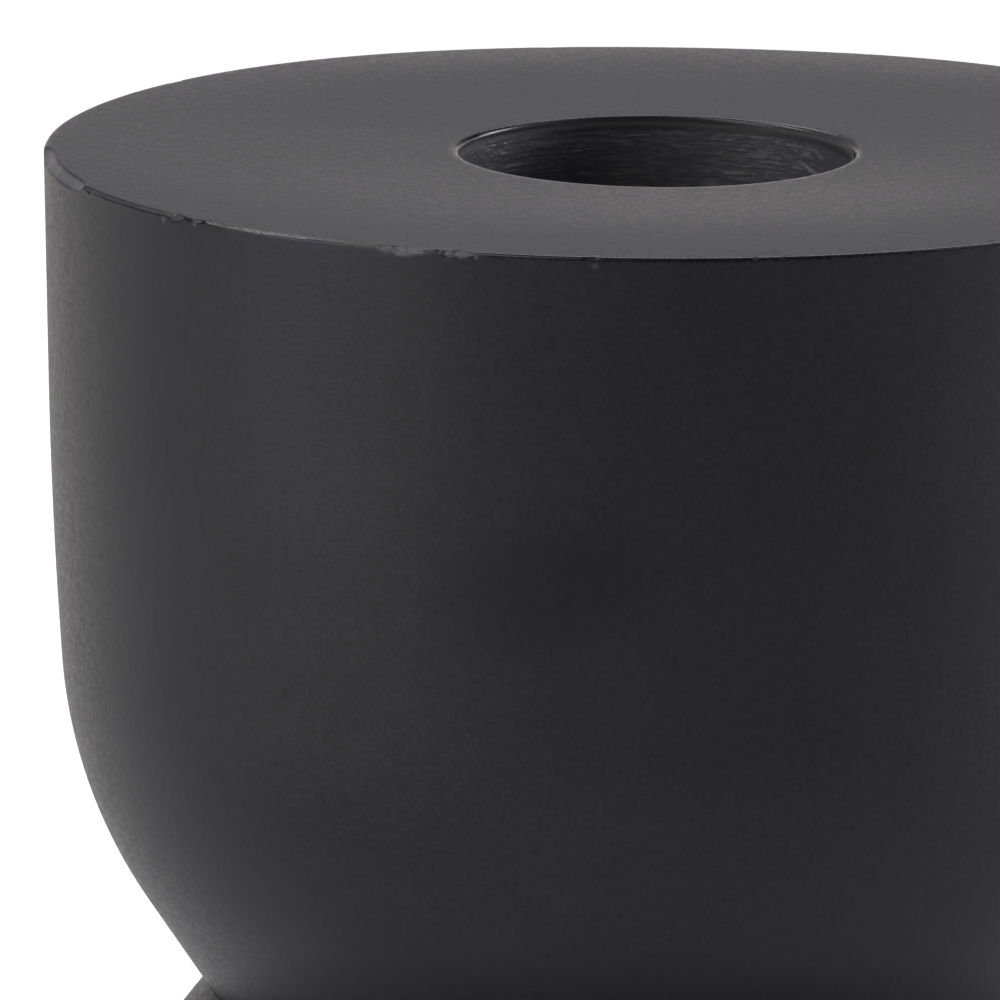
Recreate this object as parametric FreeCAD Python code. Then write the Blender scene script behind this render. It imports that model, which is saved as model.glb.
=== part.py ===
"""Tabletop candle holder for one taper candle.

Three turned and lacquered wooden blocks stand on one another: a cup with the candle socket, a ball and a
base. Each pair meets in a sharp V waist, where a spigot on the ball sits in a socket in its neighbour.
One bolt clamps the stack. Its head lies in a recess under the candle socket, hidden by the steel liner,
and its nut pulls on an iron weight let into the base. A felt pad covers the weight, and the holder
stands on it.

Units are millimetres. The origin is the centre of the felt's underside, and +Z points up the axis.
Running the file writes one STEP per piece to parts/.
"""
import FreeCAD
import Part

import math
import os

# Turned blocks
BODY_RADIUS = 35.0  # flat top of the cup and foot of the base
WAIST_RADIUS = 25.4  # the circle where two blocks meet
CUP_HEIGHT = 48.9  # top face to upper waist
BASE_HEIGHT = 48.4  # lower waist to foot
BALL_RADIUS = 33.7
WALL_LEAN_DEG = 1.4  # how far the wall leans in, from the flat face to the bend
WALL_BEND_DEPTH = 20.5  # from the flat face to the bend, where the wall starts to lean more
WALL_BEND_RADIUS = 300.0
LOWER_WALL_LEAN_DEG = 4.1  # how far the wall leans in past the bend
SHOULDER_RADIUS = 27.7  # round between the wall and the cone
CONE_ANGLE_DEG = 34.4  # cone into the waist, measured from the axis
ARRIS_RADIUS = 0.2  # broken edge of the top face and of the foot
SEAM_RADIUS = 0.15  # broken edge of each waist circle

# Spigots on the ball and their sockets
SPIGOT_RADIUS = 12.0
SPIGOT_HEIGHT = 6.0
SPIGOT_CHAMFER = 0.8
SPIGOT_CLEARANCE = 0.1  # on the radius
SPIGOT_END_GAP = 0.4  # past the spigot's end, so that the waist faces touch first

# Candle socket and its thin steel liner
LINER_BORE_RADIUS = 11.1  # takes a 22 mm candle
LINER_WALL = 0.25
LINER_GLUE_GAP = 0.05  # on the radius, between the liner and the wood
LINER_LIP_DROP = 0.75  # the liner's edge lies this far below the top face
LINER_LIP_RADIUS = 0.1
LINER_CORNER_RADIUS = 0.9  # inside, where the wall turns into the floor
SOCKET_DEPTH = 26.5  # depth of the hole in the wood
MOUTH_RADIUS = 0.3  # broken edge of the hole

# M6 tie bolt, washers and nut
BOLT_RADIUS = 3.0
BOLT_TIP_CHAMFER = 0.6
BOLT_TIP_BEYOND_NUT = 1.0
HEAD_RADIUS = 5.25
HEAD_HEIGHT = 3.3
HEAD_RIM_HEIGHT = 1.2  # straight band under the sloping part of the head
HEAD_CROWN_RADIUS = 3.0  # flat on top of the head
HEAD_EDGE_RADIUS = 1.0  # where the band and the flat turn into the slope between them
HEAD_GAP = 0.4  # between the head and the liner's floor
HEX_KEY_WIDTH = 4.0
HEX_KEY_DEPTH = 2.0
BOLT_HOLE_CLEARANCE = 0.3  # on the radius, in wood and iron
WASHER_HOLE_CLEARANCE = 0.2  # on the radius
WASHER_RADIUS = 6.0
WASHER_THICKNESS = 1.6
WASHER_CLEARANCE = 0.5  # on the radius, in the recess under the socket
LOCK_WASHER_RADIUS = 5.8
LOCK_WASHER_THICKNESS = 1.6
LOCK_WASHER_SLOT = 0.7
LOCK_WASHER_SLOT_DEG = 25.0  # slant of the slot
NUT_WIDTH = 10.0  # across flats
NUT_HEIGHT = 5.2
NUT_CHAMFER_DEG = 30.0
THREAD_CLEARANCE = 0.03  # on the radius, between the nut and the bolt

# Iron weight in the base
WEIGHT_RADIUS = 22.8
WEIGHT_THICKNESS = 19.6
WEIGHT_CHAMFER = 0.6
WEIGHT_CLEARANCE = 0.2  # on the radius, in its recess
WEIGHT_INSET = 0.4  # the weight stops this far above the foot
NUT_WELL_RADIUS = 9.0  # leaves room for a socket wrench
NUT_WELL_DEPTH = 14.5

# Felt pad
FELT_RADIUS = 31.0
FELT_THICKNESS = 1.5
FELT_EDGE_RADIUS = 0.3

# Heights of the faces where the pieces meet
FOOT_Z = FELT_THICKNESS
LOWER_WAIST_Z = FOOT_Z + BASE_HEIGHT
BALL_HALF_HEIGHT = math.sqrt(BALL_RADIUS ** 2 - WAIST_RADIUS ** 2)
BALL_CENTRE_Z = LOWER_WAIST_Z + BALL_HALF_HEIGHT
UPPER_WAIST_Z = BALL_CENTRE_Z + BALL_HALF_HEIGHT
TOP_Z = UPPER_WAIST_Z + CUP_HEIGHT
SOCKET_FLOOR_Z = TOP_Z - SOCKET_DEPTH
HEAD_SEAT_Z = SOCKET_FLOOR_Z - HEAD_GAP - HEAD_HEIGHT
HEAD_WASHER_Z = HEAD_SEAT_Z - WASHER_THICKNESS
WEIGHT_Z = FOOT_Z + WEIGHT_INSET
NUT_WASHER_Z = WEIGHT_Z + NUT_WELL_DEPTH - WASHER_THICKNESS
LOCK_WASHER_Z = NUT_WASHER_Z - LOCK_WASHER_THICKNESS
NUT_Z = LOCK_WASHER_Z - NUT_HEIGHT
BOLT_TIP_Z = NUT_Z - BOLT_TIP_BEYOND_NUT

SOCKET_RADIUS = LINER_BORE_RADIUS + LINER_WALL + LINER_GLUE_GAP
BOLT_HOLE_RADIUS = BOLT_RADIUS + BOLT_HOLE_CLEARANCE
WASHER_HOLE_RADIUS = BOLT_RADIUS + WASHER_HOLE_CLEARANCE

CUT_MARGIN = 1.0  # how far a cutting tool runs past the face it starts from
SAME_POINT = 1e-6  # two points closer than this are one point

UP = FreeCAD.Vector(0, 0, 1)
ORIGIN = FreeCAD.Vector(0, 0, 0)


def at(radius, z):
    """A point of a turned outline, in the XZ plane."""
    return FreeCAD.Vector(radius, 0, z)


def turned(corners):
    """A solid turned about the axis from a closed outline of (radius, z, corner radius) corners.

    Each corner with a radius becomes an arc tangent to the two lines that meet there.
    """
    points = [at(radius, z) for radius, z, _ in corners]
    starts, ends, edges = [], [], []
    for i, (_, _, corner_radius) in enumerate(corners):
        back = (points[i - 1] - points[i]).normalize()
        ahead = (points[(i + 1) % len(points)] - points[i]).normalize()
        half_angle = back.getAngle(ahead) / 2
        reach = corner_radius / math.tan(half_angle)
        inward = (back + ahead).normalize()
        middle = points[i] + inward * (corner_radius / math.sin(half_angle) - corner_radius)
        starts.append(points[i] + back * reach)
        ends.append(points[i] + ahead * reach)
        if corner_radius > 0:
            edges.append(Part.Arc(starts[i], middle, ends[i]).toShape())
    for i, end in enumerate(ends):
        start = starts[(i + 1) % len(starts)]
        if end.distanceToPoint(start) > SAME_POINT:
            edges.append(Part.LineSegment(end, start).toShape())
    face = Part.Face(Part.Wire(Part.sortEdges(edges)[0]))
    return face.revolve(ORIGIN, UP, 360)


def rod(radius, bottom, top):
    """A plain cylinder on the axis."""
    return Part.makeCylinder(radius, top - bottom, at(0, bottom), UP)


def chamfered_disc(radius, chamfer, bottom, top):
    """A cylinder on the axis with both rims chamfered at 45 degrees."""
    return turned(
        [
            (0, bottom, 0),
            (radius - chamfer, bottom, 0),
            (radius, bottom + chamfer, 0),
            (radius, top - chamfer, 0),
            (radius - chamfer, top, 0),
            (0, top, 0),
        ]
    )


def hexagon(width, bottom, top):
    """A hexagonal prism on the axis, with the given width across flats."""
    corner_radius = width / math.sqrt(3)
    corners = []
    for i in range(6):
        turn = math.radians(60 * i)
        corners.append(FreeCAD.Vector(corner_radius * math.cos(turn), corner_radius * math.sin(turn), bottom))
    outline = Part.makePolygon(corners + corners[:1])
    return Part.Face(outline).extrude(UP * (top - bottom))


def block(flat_z, waist_z):
    """A turned block: flat face, slightly bent wall, round shoulder and cone down to the waist circle.

    The flat face is at flat_z and the waist face at waist_z, whichever way up the block stands.
    """
    height = abs(waist_z - flat_z)
    away = (waist_z - flat_z) / height
    wall_lean = math.tan(math.radians(WALL_LEAN_DEG))
    lower_lean = math.tan(math.radians(LOWER_WALL_LEAN_DEG))
    cone = math.tan(math.radians(CONE_ANGLE_DEG))
    bend_radius = BODY_RADIUS - WALL_BEND_DEPTH * wall_lean
    # The depth under the flat face at which the lower wall's line and the cone's line cross
    cone_reach = WAIST_RADIUS + height * cone
    crossing_depth = (cone_reach - bend_radius - WALL_BEND_DEPTH * lower_lean) / (cone - lower_lean)
    return turned(
        [
            (0, flat_z, 0),
            (BODY_RADIUS, flat_z, ARRIS_RADIUS),
            (bend_radius, flat_z + away * WALL_BEND_DEPTH, WALL_BEND_RADIUS),
            (cone_reach - crossing_depth * cone, flat_z + away * crossing_depth, SHOULDER_RADIUS),
            (WAIST_RADIUS, waist_z, SEAM_RADIUS),
            (0, waist_z, 0),
        ]
    )


def spigot_socket(waist_z, inward):
    """The tool that cuts a spigot's socket into a block. inward is +1 or -1, into the block."""
    end_z = waist_z + inward * (SPIGOT_HEIGHT + SPIGOT_END_GAP)
    start_z = waist_z - inward * CUT_MARGIN
    return rod(SPIGOT_RADIUS + SPIGOT_CLEARANCE, min(start_z, end_z), max(start_z, end_z))


def bolt_hole():
    """The tool that drills the bolt's hole through the whole stack."""
    return rod(BOLT_HOLE_RADIUS, FOOT_Z - CUT_MARGIN, TOP_Z + CUT_MARGIN)


def candle_cup():
    """The top block, with the candle socket, the bolt head's recess and a spigot socket from below."""
    mouth_reach = SOCKET_RADIUS + MOUTH_RADIUS
    socket = turned(
        [
            (0, SOCKET_FLOOR_Z, 0),
            (SOCKET_RADIUS, SOCKET_FLOOR_Z, 0),
            (SOCKET_RADIUS, TOP_Z, MOUTH_RADIUS),
            (mouth_reach, TOP_Z, 0),
            (mouth_reach, TOP_Z + CUT_MARGIN, 0),
            (0, TOP_Z + CUT_MARGIN, 0),
        ]
    )
    head_recess = rod(WASHER_RADIUS + WASHER_CLEARANCE, HEAD_WASHER_Z, SOCKET_FLOOR_Z + CUT_MARGIN)
    tools = [socket, head_recess, spigot_socket(UPPER_WAIST_Z, 1), bolt_hole()]
    return block(TOP_Z, UPPER_WAIST_Z).cut(tools)


def socket_liner():
    """The thin steel cup that lines the candle socket."""
    outer_radius = LINER_BORE_RADIUS + LINER_WALL
    floor_z = SOCKET_FLOOR_Z + LINER_WALL
    lip_z = TOP_Z - LINER_LIP_DROP
    return turned(
        [
            (0, SOCKET_FLOOR_Z, 0),
            (outer_radius, SOCKET_FLOOR_Z, LINER_CORNER_RADIUS + LINER_WALL),
            (outer_radius, lip_z, LINER_LIP_RADIUS),
            (LINER_BORE_RADIUS, lip_z, LINER_LIP_RADIUS),
            (LINER_BORE_RADIUS, floor_z, LINER_CORNER_RADIUS),
            (0, floor_z, 0),
        ]
    )


def ball():
    """The middle block: a ball cut flat at both waists, with a spigot on each flat."""
    sphere = Part.makeSphere(BALL_RADIUS, at(0, BALL_CENTRE_Z))
    body = sphere.common(rod(BALL_RADIUS + CUT_MARGIN, LOWER_WAIST_Z, UPPER_WAIST_Z))
    flats = [face for face in body.Faces if isinstance(face.Surface, Part.Plane)]
    body = body.makeFillet(SEAM_RADIUS, [edge for face in flats for edge in face.Edges])
    spigots = chamfered_disc(
        SPIGOT_RADIUS, SPIGOT_CHAMFER, LOWER_WAIST_Z - SPIGOT_HEIGHT, UPPER_WAIST_Z + SPIGOT_HEIGHT
    )
    return body.fuse(spigots).removeSplitter().cut(bolt_hole())


def base():
    """The bottom block, with a spigot socket from above and the weight's recess from below."""
    recess = rod(WEIGHT_RADIUS + WEIGHT_CLEARANCE, FOOT_Z - CUT_MARGIN, WEIGHT_Z + WEIGHT_THICKNESS)
    return block(FOOT_Z, LOWER_WAIST_Z).cut([recess, spigot_socket(LOWER_WAIST_Z, -1), bolt_hole()])


def base_weight():
    """The iron disc in the base, with a well in its underside for the nut."""
    disc = chamfered_disc(WEIGHT_RADIUS, WEIGHT_CHAMFER, WEIGHT_Z, WEIGHT_Z + WEIGHT_THICKNESS)
    nut_well = rod(NUT_WELL_RADIUS, WEIGHT_Z - CUT_MARGIN, WEIGHT_Z + NUT_WELL_DEPTH)
    return disc.cut([nut_well, bolt_hole()])


def tie_bolt():
    """The bolt, with a button head and a hexagon socket. Its thread is drawn at full diameter."""
    head_top_z = HEAD_SEAT_Z + HEAD_HEIGHT
    solid = turned(
        [
            (0, BOLT_TIP_Z, 0),
            (BOLT_RADIUS - BOLT_TIP_CHAMFER, BOLT_TIP_Z, 0),
            (BOLT_RADIUS, BOLT_TIP_Z + BOLT_TIP_CHAMFER, 0),
            (BOLT_RADIUS, HEAD_SEAT_Z, 0),
            (HEAD_RADIUS, HEAD_SEAT_Z, 0),
            (HEAD_RADIUS, HEAD_SEAT_Z + HEAD_RIM_HEIGHT, HEAD_EDGE_RADIUS),
            (HEAD_CROWN_RADIUS, head_top_z, HEAD_EDGE_RADIUS),
            (0, head_top_z, 0),
        ]
    )
    return solid.cut(hexagon(HEX_KEY_WIDTH, head_top_z - HEX_KEY_DEPTH, head_top_z + CUT_MARGIN))


def washer(bottom_z):
    """A plain washer for the bolt."""
    hole = rod(WASHER_HOLE_RADIUS, bottom_z - CUT_MARGIN, bottom_z + WASHER_THICKNESS + CUT_MARGIN)
    return rod(WASHER_RADIUS, bottom_z, bottom_z + WASHER_THICKNESS).cut(hole)


def lock_washer():
    """The spring washer above the nut, cut through by one slanted slot."""
    top_z = LOCK_WASHER_Z + LOCK_WASHER_THICKNESS
    hole = rod(WASHER_HOLE_RADIUS, LOCK_WASHER_Z - CUT_MARGIN, top_z + CUT_MARGIN)
    slot_height = 4 * LOCK_WASHER_THICKNESS
    middle = at(0, (LOCK_WASHER_Z + top_z) / 2)
    slot = Part.makeBox(LOCK_WASHER_RADIUS + CUT_MARGIN, LOCK_WASHER_SLOT, slot_height)
    slot.translate(middle - FreeCAD.Vector(0, LOCK_WASHER_SLOT, slot_height) / 2)
    slot.rotate(middle, FreeCAD.Vector(1, 0, 0), LOCK_WASHER_SLOT_DEG)
    return rod(LOCK_WASHER_RADIUS, LOCK_WASHER_Z, top_z).cut([hole, slot])


def nut():
    """The hexagon nut, chamfered on both faces and bored just clear of the bolt."""
    top_z = NUT_Z + NUT_HEIGHT
    flat_radius = NUT_WIDTH / 2
    corner_radius = NUT_WIDTH / math.sqrt(3)
    drop = (corner_radius - flat_radius) * math.tan(math.radians(NUT_CHAMFER_DEG))
    rims = turned(
        [
            (0, NUT_Z, 0),
            (flat_radius, NUT_Z, 0),
            (corner_radius, NUT_Z + drop, 0),
            (corner_radius, top_z - drop, 0),
            (flat_radius, top_z, 0),
            (0, top_z, 0),
        ]
    )
    bore = rod(BOLT_RADIUS + THREAD_CLEARANCE, NUT_Z - CUT_MARGIN, top_z + CUT_MARGIN)
    return hexagon(NUT_WIDTH, NUT_Z, top_z).common(rims).cut(bore)


def felt_pad():
    """The felt disc under the foot."""
    return turned(
        [
            (0, 0, 0),
            (FELT_RADIUS, 0, FELT_EDGE_RADIUS),
            (FELT_RADIUS, FELT_THICKNESS, FELT_EDGE_RADIUS),
            (0, FELT_THICKNESS, 0),
        ]
    )


PIECES = {
    "candle_cup": candle_cup(),
    "socket_liner": socket_liner(),
    "head_washer": washer(HEAD_WASHER_Z),
    "tie_bolt": tie_bolt(),
    "ball": ball(),
    "base": base(),
    "base_weight": base_weight(),
    "nut_washer": washer(NUT_WASHER_Z),
    "lock_washer": lock_washer(),
    "nut": nut(),
    "felt_pad": felt_pad(),
}

os.makedirs("parts", exist_ok=True)
for node, shape in PIECES.items():
    shape.exportStep("parts/" + node + ".step")
    print(f"{node}: {len(shape.Solids)} solid, valid {shape.isValid()}, {shape.Volume / 1000:.2f} cm3")
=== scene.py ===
"""The looks of a tabletop candle holder: turned blocks in matte black lacquer, with their hardware.

The three blocks, the socket's liner and the felt pad are modelled here in full, in the places that the
construction model gives them. The hardware and the weight keep their construction meshes and get finishes.
Everything is in metres, with +Z up the turning axis. A bearing of 0 is the side that faces -Y, and bearings
grow towards +X.
"""
import logging
import math
import random
from dataclasses import dataclass, replace
from enum import Enum
from typing import Callable, NamedTuple, Sequence

import bpy
from mathutils import Matrix, Vector, noise


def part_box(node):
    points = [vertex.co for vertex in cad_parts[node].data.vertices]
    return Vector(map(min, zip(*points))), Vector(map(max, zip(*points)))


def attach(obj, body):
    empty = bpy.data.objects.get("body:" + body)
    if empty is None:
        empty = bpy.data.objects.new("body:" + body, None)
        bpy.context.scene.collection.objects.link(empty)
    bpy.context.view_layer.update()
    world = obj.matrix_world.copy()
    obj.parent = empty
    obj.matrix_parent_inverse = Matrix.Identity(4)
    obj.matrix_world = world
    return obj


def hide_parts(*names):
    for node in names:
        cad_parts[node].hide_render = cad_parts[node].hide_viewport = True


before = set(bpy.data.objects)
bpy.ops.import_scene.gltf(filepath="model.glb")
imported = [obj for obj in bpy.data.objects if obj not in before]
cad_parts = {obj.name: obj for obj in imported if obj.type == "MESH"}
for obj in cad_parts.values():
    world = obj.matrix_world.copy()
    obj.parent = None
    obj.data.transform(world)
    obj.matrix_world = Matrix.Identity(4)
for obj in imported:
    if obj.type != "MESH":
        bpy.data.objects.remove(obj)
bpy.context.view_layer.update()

LOG = logging.getLogger("candle_holder")

MM = 0.001
MICRON = 1e-6
TOUCH = 0.01 * MM  # points no further apart than this are taken as one
BODY = "root"
WEAR = "wear"
RUB = "rub"

Colour = tuple[float, float, float, float]
Socket = bpy.types.NodeSocket
WHITE: Colour = (1.0, 1.0, 1.0, 1.0)


# Turned meshes


@dataclass(frozen=True)
class Corner:
    """One corner of a turned outline.

    radius and height place the corner. rounding is the radius of the arc that replaces it, and arc_steps
    the steps along that arc. run_steps is the number of equal steps on the straight run that follows.
    """

    radius: float
    height: float
    rounding: float = 0.0
    arc_steps: int = 4
    run_steps: int = 1


def trace(corners: Sequence[Corner], closed: bool) -> list[tuple[float, float]]:
    """Turn corners into the points of a turned outline.

    Args:
        corners: The corners in order, with the material on the left of the line from each to the next.
        closed: Whether the last corner joins the first one.

    Returns:
        The outline's points as (radius, height) pairs.
    """
    places = [Vector((c.radius, c.height)) for c in corners]
    count = len(corners)
    stretches: list[list[Vector]] = []
    for i, corner in enumerate(corners):
        here = places[i]
        if corner.rounding == 0 or (not closed and i in (0, count - 1)):
            stretches.append([here])
            continue
        back = (places[i - 1] - here).normalized()
        ahead = (places[(i + 1) % count] - here).normalized()
        half = back.angle(ahead) / 2
        reach = corner.rounding / math.tan(half)
        centre = here + (back + ahead).normalized() * (corner.rounding / math.sin(half))
        first, last = here + back * reach - centre, here + ahead * reach - centre
        start = math.atan2(first.y, first.x)
        sweep = math.remainder(math.atan2(last.y, last.x) - start, 2 * math.pi)
        arc = []
        for step in range(corner.arc_steps + 1):
            turn = start + sweep * step / corner.arc_steps
            arc.append(centre + corner.rounding * Vector((math.cos(turn), math.sin(turn))))
        stretches.append(arc)
    points: list[Vector] = []
    for i, stretch in enumerate(stretches):
        points.extend(stretch)
        if i == count - 1 and not closed:
            break
        start, end = stretch[-1], stretches[(i + 1) % count][0]
        for step in range(1, corners[i].run_steps):
            points.append(start.lerp(end, step / corners[i].run_steps))
    return [(p.x, p.y) for p in points]


def turned_round(corners: Sequence[Corner], last_steps: int) -> list[Corner]:
    """The same outline the other way round, with every run's steps kept on that run.

    Args:
        corners: The corners.
        last_steps: The steps of the run that follows the last corner in the new order.

    Returns:
        The corners in reverse order.
    """
    back = list(reversed(corners))
    steps = [following.run_steps for following in back[1:]] + [last_steps]
    return [replace(corner, run_steps=count) for corner, count in zip(back, steps)]


def strip(lower: range, upper: range) -> list[tuple[int, ...]]:
    """Join two neighbouring rings with faces.

    Args:
        lower: The vertex numbers of the first ring.
        upper: The vertex numbers of the ring that follows it on the outline.

    Returns:
        The faces. Rings of one size give quads, and rings of different sizes give triangles.
    """
    few, many = len(lower), len(upper)
    if few == many:
        return [(lower[i], lower[(i + 1) % few], upper[(i + 1) % few], upper[i]) for i in range(few)]
    if few > many:
        return [tuple(reversed(face)) for face in strip(upper, lower)]
    share = many // few
    faces: list[tuple[int, ...]] = []
    for i in range(few):
        here, following = lower[i], lower[(i + 1) % few]
        middle = share // 2 if few > 1 else share
        for step in range(share):
            first = upper[(i * share + step) % many]
            second = upper[(i * share + step + 1) % many]
            faces.append((here if step < middle else following, second, first))
        if few > 1:
            faces.append((here, following, upper[(i * share + middle) % many]))
    return faces


class Spot(NamedTuple):
    """Where a point of a turned mesh ends up, with its wear and its rub from 0 to 1.

    wear is broken coat, which is rougher and paler; in the cup's socket it also carries painted light. rub is
    polish from handling, which is smoother.
    """

    radius: float
    height: float
    wear: float = 0.0
    rub: float = 0.0


Shape = Callable[[float, float, float], Spot]
Turns = Callable[[float, float], int]


def eased(value: float, low: float, high: float) -> float:
    """How far a value has come from low to high, from 0 to 1, with soft ends."""
    share = min(1.0, max(0.0, (value - low) / (high - low)))
    return share * share * (3 - 2 * share)


def turned_mesh(
    name: str, outline: Sequence[tuple[float, float]], turns: Turns, closed: bool, shape: Shape | None = None
) -> bpy.types.Object:
    """Turn an outline about the axis into a mesh object.

    Args:
        name: The object's name.
        outline: Points as (radius, height), with the material on the left. A radius of 0 is a pole.
        turns: Gives the number of points round the ring at a radius and height.
        closed: Whether the last ring joins the first.
        shape: Moves a point. It takes the point's bearing in radians, its radius and its height.

    Returns:
        The object, smooth shaded, with wear and rub attributes on its points.
    """
    rings: list[range] = []
    places: list[tuple[float, float, float]] = []
    spots: list[Spot] = []
    for radius, height in outline:
        count = 1 if radius == 0 else turns(radius, height)
        rings.append(range(len(places), len(places) + count))
        for i in range(count):
            bearing = 2 * math.pi * i / count
            spot = shape(bearing, radius, height) if shape else Spot(radius, height)
            places.append((spot.radius * math.sin(bearing), -spot.radius * math.cos(bearing), spot.height))
            spots.append(spot)
    faces: list[tuple[int, ...]] = []
    for lower, upper in zip(rings, rings[1:]):
        faces.extend(strip(lower, upper))
    if closed:
        faces.extend(strip(rings[-1], rings[0]))
    mesh = bpy.data.meshes.new(name)
    mesh.from_pydata(places, [], faces)
    mesh.shade_smooth()
    mesh.attributes.new(WEAR, "FLOAT", "POINT").data.foreach_set("value", [spot.wear for spot in spots])
    mesh.attributes.new(RUB, "FLOAT", "POINT").data.foreach_set("value", [spot.rub for spot in spots])
    mesh.validate()
    piece = bpy.data.objects.new(name, mesh)
    bpy.context.scene.collection.objects.link(piece)
    return piece


# Wear of the sharp edges


@dataclass(frozen=True)
class Chip:
    """A place where an arris is knocked off.

    bearing is in degrees, and half_width, inset and drop are in metres. inset is how far the chip reaches
    over the flat face, and drop how far it reaches down the wall. wear is how much of the lacquer is gone
    from it.
    """

    bearing: float
    half_width: float
    inset: float
    drop: float
    wear: float = 0.6


@dataclass(frozen=True)
class Bevel:
    """A stretch where handling has worn the arris to a narrow flat. width is measured along each face."""

    bearing: float
    half_width: float
    width: float
    wear: float


@dataclass(frozen=True)
class Dent:
    """A small round dent in the wall, drop below the arris."""

    bearing: float
    drop: float
    radius: float
    depth: float


@dataclass(frozen=True)
class Swell:
    """A smooth rise round a bearing.

    bearing and spread are in degrees. amount is in metres, or a plain factor.
    """

    bearing: float
    amount: float
    spread: float

    def at(self, bearing: float) -> float:
        """The rise at a bearing, given in radians."""
        away = math.degrees(math.remainder(bearing - math.radians(self.bearing), 2 * math.pi))
        return self.amount * math.exp(-((away / self.spread) ** 2))


def swell_sum(swells: Sequence[Swell], bearing: float) -> float:
    """The rise of several swells together at a bearing, given in radians."""
    return sum(swell.at(bearing) for swell in swells)


@dataclass(frozen=True)
class EdgeWear:
    """The bruises along the arris between a block's flat face and its wall.

    inward is +1 where the block lies under its flat face and -1 where it lies over it. reach is how far from
    the arris the wear goes, and softness how far its polish and its ripple go. A wave is the length of the
    bumps in a bevel or a chip, and chip_edge the width over which a chip's bare middle fades out. A cut
    narrower than least_cut is left out.
    """

    radius: float
    flat_height: float
    inward: float
    chips: tuple[Chip, ...]
    dents: tuple[Dent, ...] = ()
    bevels: tuple[Bevel, ...] = ()
    reach: float = 1.3 * MM
    softness: float = 0.42 * MM
    unevenness: float = 0.012 * MM
    ripple_run: float = 0.9 * MM
    ripple_drop: float = 0.5 * MM
    bevel_wave: float = 2.0 * MM
    bevel_waviness: float = 0.12
    bevel_seed: float = 3.0
    chip_wave: float = 0.6 * MM
    chip_waviness: float = 0.35
    chip_grain: float = 0.22
    chip_grain_size: float = 0.3 * MM
    chip_edge: float = 0.15 * MM
    dent_wear: float = 0.6
    dent_inset: float = 0.5 * MM
    least_cut: float = 0.02 * MM

    def shape(self, bearing: float, radius: float, height: float) -> Spot:
        """Move a point of the block near its arris.

        Args:
            bearing: The point's bearing, in radians.
            radius: Its distance from the axis.
            height: Its height.

        Returns:
            Where the point goes.
        """
        inset = self.radius - radius
        drop = (self.flat_height - height) * self.inward
        if inset > self.reach or drop > self.reach or inset + drop < 0:
            return Spot(radius, height)
        near = math.exp(-(((inset + drop) / self.softness) ** 2))
        run = bearing * self.radius
        new_inset, new_drop, wear = inset, drop, 0.0
        for bevel in self.bevels:
            share = abs(self._arc(bearing, bevel.bearing)) / bevel.half_width
            if share < 1:
                wave = self.bevel_waviness * self._ragged(bearing, self.bevel_wave, self.bevel_seed)
                width = bevel.width * (1 - share**6) ** 0.5 * (1 + wave)
                new_inset, new_drop, cut = self._press(width, width, new_inset, new_drop)
                wear = max(wear, bevel.wear * min(1.0, cut / (0.4 * width)))
        for chip in self.chips:
            share = abs(self._arc(bearing, chip.bearing)) / chip.half_width
            if share < 1:
                wave = self.chip_waviness * self._ragged(bearing, self.chip_wave, chip.bearing)
                size = (1 - share**2) ** 0.5 * (0.9 + wave)
                speck = noise.noise(Vector((run, 2 * drop, 2 * inset)) / self.chip_grain_size)
                grain = 1 + self.chip_grain * speck
                across, down = chip.inset * size * grain, chip.drop * size * grain
                new_inset, new_drop, cut = self._press(across, down, new_inset, new_drop)
                wear = max(wear, chip.wear * min(1.0, cut / self.chip_edge))
        for dent in self.dents:
            distance = math.hypot(self._arc(bearing, dent.bearing), new_drop - dent.drop)
            if distance < 3 * dent.radius and new_inset < self.dent_inset:
                hollow = math.exp(-((distance / dent.radius) ** 2))
                new_inset += dent.depth * hollow
                wear = max(wear, self.dent_wear * hollow)
        ripple = noise.noise(Vector((run / self.ripple_run, 0.0, drop / self.ripple_drop)))
        new_inset += self.unevenness * near * (0.5 + 0.5 * ripple)
        height = self.flat_height - new_drop * self.inward
        return Spot(self.radius - new_inset, height, wear, near * (1 - wear))

    def _arc(self, bearing: float, centre: float) -> float:
        """Distance along the arris from a centre, given in degrees, to a bearing, given in radians."""
        return self.radius * math.remainder(bearing - math.radians(centre), 2 * math.pi)

    def _ragged(self, bearing: float, length: float, seed: float) -> float:
        """A random waviness along the arris, from -1 to 1, with bumps of about a length."""
        return noise.noise(Vector((bearing * self.radius / length, seed * 7.13, 0.0)))

    def _press(self, across: float, down: float, inset: float, drop: float) -> tuple[float, float, float]:
        """Press a point back onto a flat cut across the arris.

        Args:
            across: How far the cut reaches over the flat face.
            down: How far it reaches down the wall.
            inset: How far the point lies in from the wall.
            drop: How far it lies below the flat face.

        Returns:
            The new inset, the new drop and how far the point moved.
        """
        if min(across, down) < self.least_cut:
            return inset, drop, 0.0
        steep = math.hypot(1 / across, 1 / down)
        short = (1 - inset / across - drop / down) / steep
        if short <= 0:
            return inset, drop, 0.0
        return inset + short / (across * steep), drop + short / (down * steep), short


def scattered_chips(seed: int, count: int, largest: float, first: float, last: float) -> tuple[Chip, ...]:
    """Small chips at random places along an arris.

    Args:
        seed: The seed of the random draw.
        count: How many chips.
        largest: The half width of the largest one.
        first: The bearing in degrees at which the stretch starts.
        last: The bearing at which it ends.

    Returns:
        The chips.
    """
    draw = random.Random(seed)
    chips = []
    for _ in range(count):
        half_width = largest * (0.15 + 0.85 * draw.random() ** 3)
        depth = (0.12 + 0.28 * draw.random()) * MM
        chips.append(Chip(draw.uniform(first, last), half_width, depth * draw.uniform(0.6, 1.0), depth))
    return tuple(chips)


# Node trees


class Effect(Enum):
    """The effects that several finishes share."""

    LATHE_RINGS = "lathe_rings"
    MOTTLE = "mottle"
    SPECKS = "specks"
    HAND_MARK = "hand_mark"


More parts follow.
